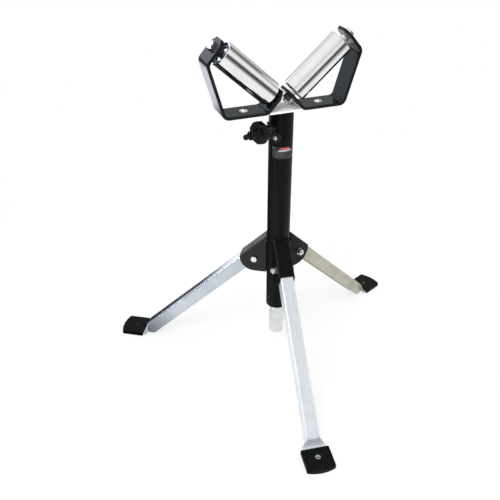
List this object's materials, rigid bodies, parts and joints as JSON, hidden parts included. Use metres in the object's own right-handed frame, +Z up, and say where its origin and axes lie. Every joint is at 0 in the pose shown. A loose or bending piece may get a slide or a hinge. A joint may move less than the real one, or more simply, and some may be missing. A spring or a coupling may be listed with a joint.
{
  "type": "roller stand",
  "caption": "Folding tripod stand with a lifting, swivelling V head that carries pipe or stock on rollers.",
  "frame": {"origin": "on the floor, at the middle of the box round the whole stand", "axes": "+Z up along the mast, X across the stand in the plane of the two rollers, Y along the pipe it carries; the front leg points towards -Y"},
  "size_m": [0.5342, 0.4706, 0.5762],
  "materials": {
    "black_paint": "gloss",
    "zinc_plate": "satin",
    "roller_steel": "polished",
    "black_rubber": "matte",
    "black_plastic": "satin",
    "white_nylon": "satin"
  },
  "bodies": {
    "base": {"outer_tube": "black_paint", "hub_sleeve": "black_paint", "guide_sleeve": "white_nylon", "bottom_bush": "white_nylon", "lock_saddle": "black_paint", "saddle_screw_upper": "zinc_plate", "saddle_screw_lower": "zinc_plate", "hub_bracket_front": "black_paint", "pivot_bolt_front": "zinc_plate", "pivot_nut_front": "zinc_plate", "pivot_washer_front": "zinc_plate", "hub_bracket_right": "black_paint", "pivot_bolt_right": "zinc_plate", "pivot_nut_right": "zinc_plate", "pivot_washer_right": "zinc_plate", "hub_bracket_left": "black_paint", "pivot_bolt_left": "zinc_plate", "pivot_nut_left": "zinc_plate", "pivot_washer_left": "zinc_plate"},
    "mast_plug": {"mast_end_cap": "white_nylon"},
    "head": {"mast_tube": "zinc_plate", "head_plate": "zinc_plate", "head_bracket_right": "black_paint", "axle_bolt_right": "zinc_plate", "axle_nut_right": "zinc_plate", "axle_spacer_right_inner": "zinc_plate", "axle_spacer_right_outer": "zinc_plate", "head_bracket_left": "black_paint", "axle_bolt_left": "zinc_plate", "axle_nut_left": "zinc_plate", "axle_spacer_left_inner": "zinc_plate", "axle_spacer_left_outer": "zinc_plate"},
    "roller_right": {"roller_shell_right": "roller_steel", "roller_cap_right_inner": "black_plastic", "roller_cap_right_outer": "black_plastic", "bearing_right_inner": "zinc_plate", "bearing_right_outer": "zinc_plate"},
    "roller_left": {"roller_shell_left": "roller_steel", "roller_cap_left_inner": "black_plastic", "roller_cap_left_outer": "black_plastic", "bearing_left_inner": "zinc_plate", "bearing_left_outer": "zinc_plate"},
    "leg_front": {"leg_front": "zinc_plate", "boot_front": "black_rubber"},
    "leg_right": {"leg_right": "zinc_plate", "boot_right": "black_rubber"},
    "leg_left": {"leg_left": "zinc_plate", "boot_left": "black_rubber"},
    "lock_stud": {"lock_stud": "zinc_plate"},
    "lock_knob": {"lock_knob": "black_plastic"}
  },
  "joints": [
    {"name": "mast_slide", "type": "slide", "parent": "base", "child": "mast_plug", "axis": [0, 0, 1], "range_m": [0, 0.28]},
    {"name": "head_swivel", "type": "hinge", "parent": "mast_plug", "child": "head", "pos_m": [-0.01024, 0.05739, 0.4645], "axis": [0, 0, 1], "continuous": true},
    {"name": "roller_right_spin", "type": "hinge", "parent": "head", "child": "roller_right", "pos_m": [0.00283, 0.05739, 0.48485], "axis": [0.7478, 0, 0.6639], "continuous": true},
    {"name": "roller_left_spin", "type": "hinge", "parent": "head", "child": "roller_left", "pos_m": [-0.0233, 0.05739, 0.48485], "axis": [-0.7478, 0, 0.6639], "continuous": true},
    {"name": "leg_front_fold", "type": "hinge", "parent": "base", "child": "leg_front", "pos_m": [-0.01658, 0.01911, 0.1996], "axis": [0.9866, -0.1633, 0], "range_deg": [0, 44]},
    {"name": "leg_right_fold", "type": "hinge", "parent": "base", "child": "leg_right", "pos_m": [0.0255, 0.07249, 0.1996], "axis": [-0.3891, 0.9212, 0], "range_deg": [0, 44]},
    {"name": "leg_left_fold", "type": "hinge", "parent": "base", "child": "leg_left", "pos_m": [-0.04278, 0.07852, 0.1996], "axis": [-0.5446, -0.8387, 0], "range_deg": [0, 44]},
    {"name": "lock_travel", "type": "slide", "parent": "base", "child": "lock_stud", "axis": [-0.9373, -0.3486, 0], "range_m": [0, 0.00375]},
    {"name": "lock_turn", "type": "hinge", "parent": "lock_stud", "child": "lock_knob", "pos_m": [-0.01024, 0.05739, 0.4382], "axis": [-0.9373, -0.3486, 0], "range_deg": [0, 1080]}
  ],
  "couplings": [
    {"joint": "lock_travel", "follows": "lock_turn", "m_per_rad": 0.00019894}
  ]
}
